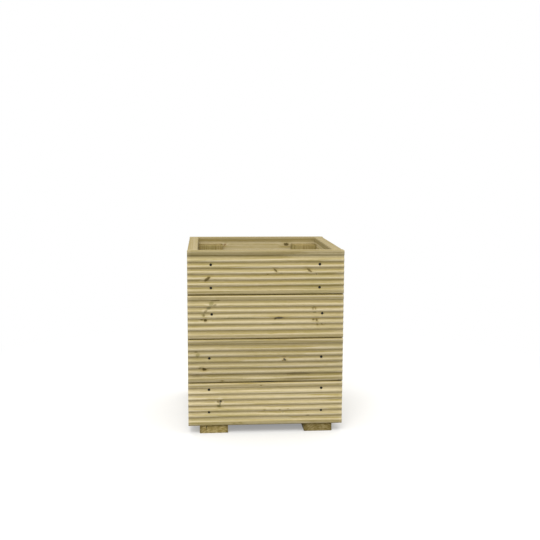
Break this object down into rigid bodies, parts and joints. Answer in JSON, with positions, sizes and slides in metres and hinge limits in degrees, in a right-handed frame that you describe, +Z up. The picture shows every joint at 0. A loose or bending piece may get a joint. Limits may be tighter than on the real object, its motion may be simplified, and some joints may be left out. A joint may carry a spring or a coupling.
{
  "type": "wooden planter",
  "caption": "Square free-standing timber planter box of horizontal grooved deck boards screwed to corner posts, with a slatted floor on bearers, two runners under it and an open top.",
  "frame": {"origin": "on the ground, under the middle of the planter", "axes": "+Z up, front wall facing -Y, +X to the right seen from the front"},
  "size_m": [0.42, 0.42, 0.5005],
  "materials": {
    "deck_board": "planed and grooved, green-tinted pressure-treated softwood, matte",
    "post": "sawn pressure-treated softwood, matte",
    "floor_timber": "pressure-treated softwood, matte",
    "runner": "rough-sawn pressure-treated softwood batten, matte",
    "screw": "dark coated steel, satin"
  },
  "bodies": {
    "root": {"front_board_1": "deck_board", "front_board_2": "deck_board", "front_board_3": "deck_board", "front_board_4": "deck_board", "back_board_1": "deck_board", "back_board_2": "deck_board", "back_board_3": "deck_board", "back_board_4": "deck_board", "left_board_1": "deck_board", "left_board_2": "deck_board", "left_board_3": "deck_board", "left_board_4": "deck_board", "right_board_1": "deck_board", "right_board_2": "deck_board", "right_board_3": "deck_board", "right_board_4": "deck_board", "post_front_left": "post", "post_front_right": "post", "post_back_left": "post", "post_back_right": "post", "bearer_front": "floor_timber", "bearer_back": "floor_timber", "floor_board_1": "floor_timber", "floor_board_2": "floor_timber", "floor_board_3": "floor_timber", "runner_left": "runner", "runner_right": "runner", "front_screws": "screw", "back_screws": "screw", "left_screws": "screw", "right_screws": "screw", "bearer_screws": "screw", "floor_screws": "screw", "runner_screws": "screw"}
  },
  "joints": []
}
